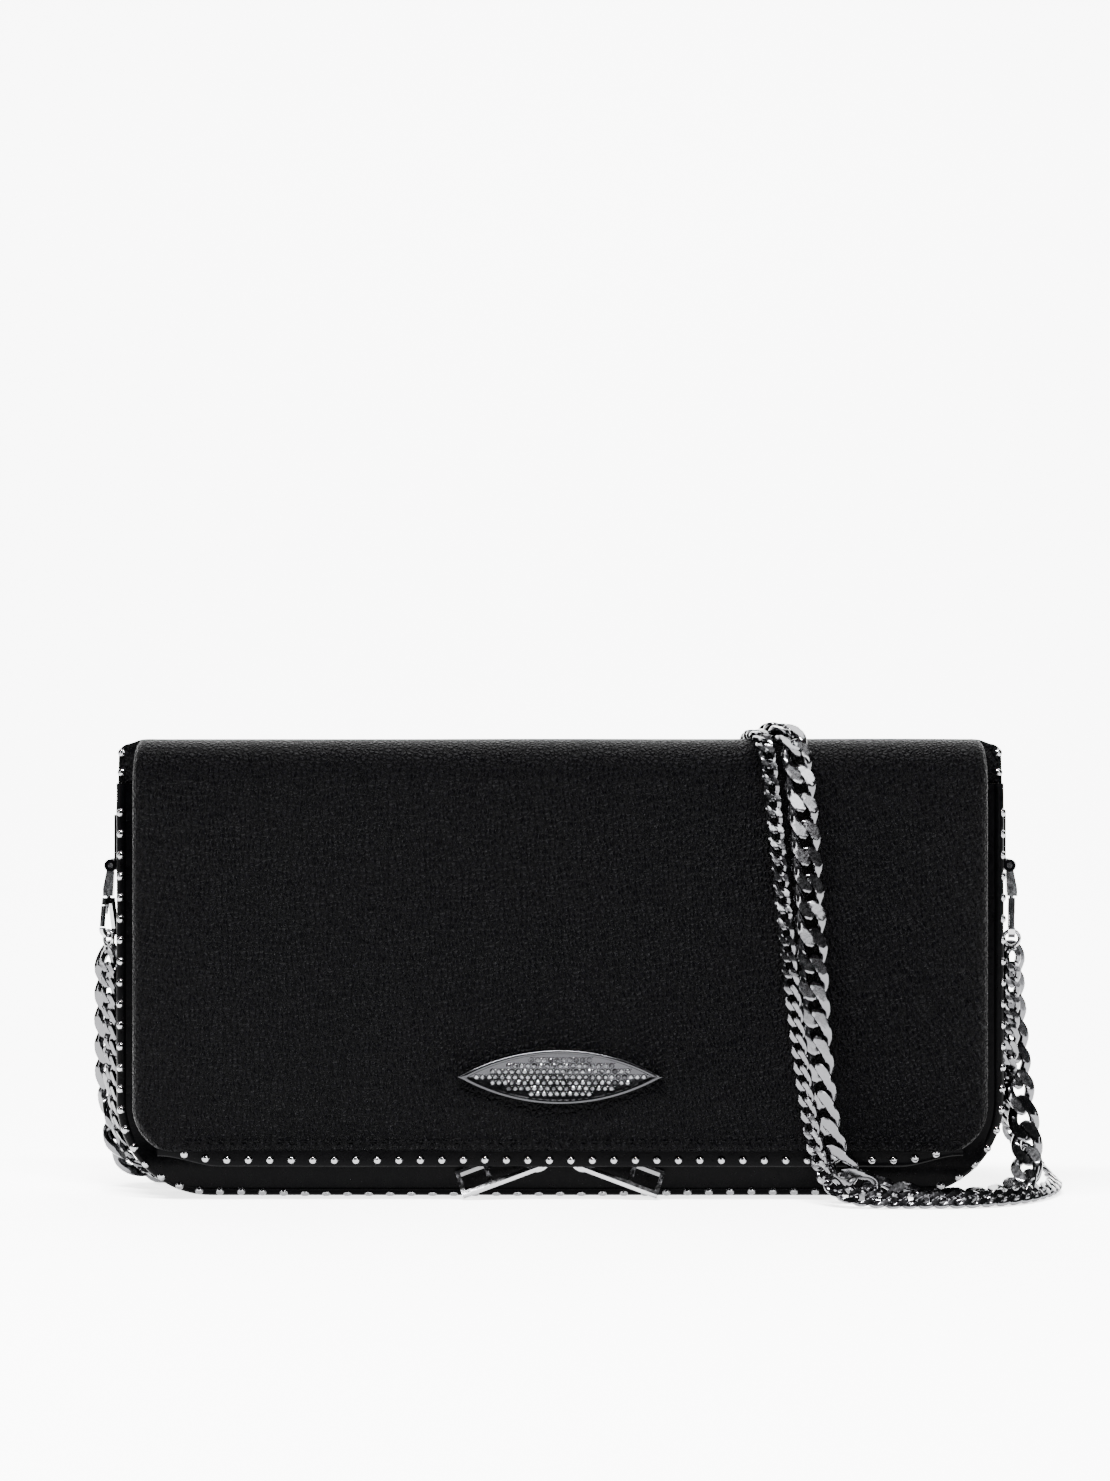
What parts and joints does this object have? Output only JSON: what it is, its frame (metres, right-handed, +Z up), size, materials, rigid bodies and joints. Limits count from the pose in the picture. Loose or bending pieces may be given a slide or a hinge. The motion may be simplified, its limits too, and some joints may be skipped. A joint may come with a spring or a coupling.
{
  "type": "chain wallet",
  "caption": "Fold-over zip clutch wallet in pebbled black leather with studded edges, a jewelled plaque, card pockets and chain shoulder straps.",
  "frame": {"origin": "middle of the flat base of the back half, on the surface it stands on", "axes": "+X to the wearer's right seen from the front, +Z up, front towards -Y"},
  "size_m": [0.3061, 0.0608, 0.1493],
  "materials": {
    "grained_leather": "pebbled black leather, satin",
    "smooth_leather": "smooth black leather, semi-gloss",
    "lining_cloth": "black woven cotton lining",
    "stiffener_board": "pressed fibre board",
    "magnet": "plated disc",
    "zip_cloth": "black woven tape",
    "stud_metal": "polished dark silver",
    "hardware_metal": "polished dark silver",
    "stones": "faceted grey crystal",
    "chain_metal": "polished dark silver"
  },
  "bodies": {
    "bag": {"back_panel": "grained_leather", "back_board": "stiffener_board", "back_lining": "lining_cloth", "inner_front_panel": "smooth_leather", "front_board": "stiffener_board", "front_lining": "lining_cloth", "magnet_back": "magnet", "base_strip": "smooth_leather", "binding_left": "smooth_leather", "binding_right": "smooth_leather", "binding_studs": "stud_metal", "card_leaf_1": "smooth_leather", "card_leaf_2": "smooth_leather", "card_leaf_3": "smooth_leather", "card_leaf_4": "smooth_leather", "slip_pocket": "smooth_leather", "strap_tab_left": "smooth_leather", "strap_tab_right": "smooth_leather", "fold_spine": "grained_leather", "fold_inner": "smooth_leather", "thick_chain_left": "chain_metal", "thick_chain_drape": "chain_metal", "thick_chain_right": "chain_metal", "thin_chain_left": "chain_metal", "thin_chain_drape": "chain_metal", "thin_chain_right": "chain_metal"},
    "flap": {"flap_front_panel": "grained_leather", "flap_front_lining": "lining_cloth", "flap_inner_panel": "smooth_leather", "flap_board": "stiffener_board", "flap_inner_lining": "lining_cloth", "magnet_flap": "magnet", "flap_side_left": "smooth_leather", "flap_side_right": "smooth_leather", "hem_strip": "smooth_leather", "flap_studs": "stud_metal", "zip_tape_front": "zip_cloth", "zip_tape_back": "zip_cloth", "zip_teeth_front": "hardware_metal", "zip_teeth_back": "hardware_metal", "zip_end_stops": "hardware_metal", "ornament_plate": "hardware_metal", "ornament_washers": "stud_metal", "ornament_stones": "stones"},
    "slider_left": {"slider_left": "hardware_metal"},
    "pull_left": {"pull_left": "hardware_metal"},
    "block_left": {"swivel_block_left": "hardware_metal"},
    "hook_left": {"snap_hook_left": "hardware_metal", "end_ring_left": "hardware_metal"},
    "gate_left": {"hook_gate_left": "hardware_metal"},
    "slider_right": {"slider_right": "hardware_metal"},
    "pull_right": {"pull_right": "hardware_metal"},
    "block_right": {"swivel_block_right": "hardware_metal"},
    "hook_right": {"snap_hook_right": "hardware_metal", "end_ring_right": "hardware_metal"},
    "gate_right": {"hook_gate_right": "hardware_metal"}
  },
  "joints": [
    {"name": "flap_fold", "type": "hinge", "parent": "bag", "child": "flap", "pos_m": [0, -0.008, 0.131], "axis": [-1, 0, 0], "range_deg": [0, 175], "deforming": ["fold_spine", "fold_inner", "thick_chain_drape", "thin_chain_drape"]},
    {"name": "zip_left", "type": "slide", "parent": "flap", "child": "slider_left", "axis": [-1, 0, 0], "range_m": [0, 0.097]},
    {"name": "pull_swing_left", "type": "hinge", "parent": "slider_left", "child": "pull_left", "pos_m": [-0.0075, -0.014, 0.0124], "axis": [0, 1, 0], "range_deg": [-60, 12]},
    {"name": "block_swing_left", "type": "hinge", "parent": "bag", "child": "block_left", "pos_m": [-0.1422, 0, 0.104], "axis": [0, 1, 0], "range_deg": [0, 60]},
    {"name": "hook_swivel_left", "type": "hinge", "parent": "block_left", "child": "hook_left", "pos_m": [-0.1433, 0, 0.0936], "axis": [0, 0, 1], "continuous": true},
    {"name": "gate_left", "type": "hinge", "parent": "hook_left", "child": "gate_left", "pos_m": [-0.14472, -0.00119, 0.091], "axis": [0.6428, -0.766, 0], "range_deg": [0, 12], "stiffness_Nm_per_rad": 0.002},
    {"name": "zip_right", "type": "slide", "parent": "flap", "child": "slider_right", "axis": [1, 0, 0], "range_m": [0, 0.097]},
    {"name": "pull_swing_right", "type": "hinge", "parent": "slider_right", "child": "pull_right", "pos_m": [0.0075, -0.014, 0.0124], "axis": [0, -1, 0], "range_deg": [-60, 12]},
    {"name": "block_swing_right", "type": "hinge", "parent": "bag", "child": "block_right", "pos_m": [0.1422, 0, 0.104], "axis": [0, -1, 0], "range_deg": [0, 60]},
    {"name": "hook_swivel_right", "type": "hinge", "parent": "block_right", "child": "hook_right", "pos_m": [0.1433, 0, 0.0936], "axis": [0, 0, 1], "continuous": true},
    {"name": "gate_right", "type": "hinge", "parent": "hook_right", "child": "gate_right", "pos_m": [0.14311, -0.00184, 0.091], "axis": [0.9945, -0.1045, 0], "range_deg": [0, 12], "stiffness_Nm_per_rad": 0.002}
  ]
}
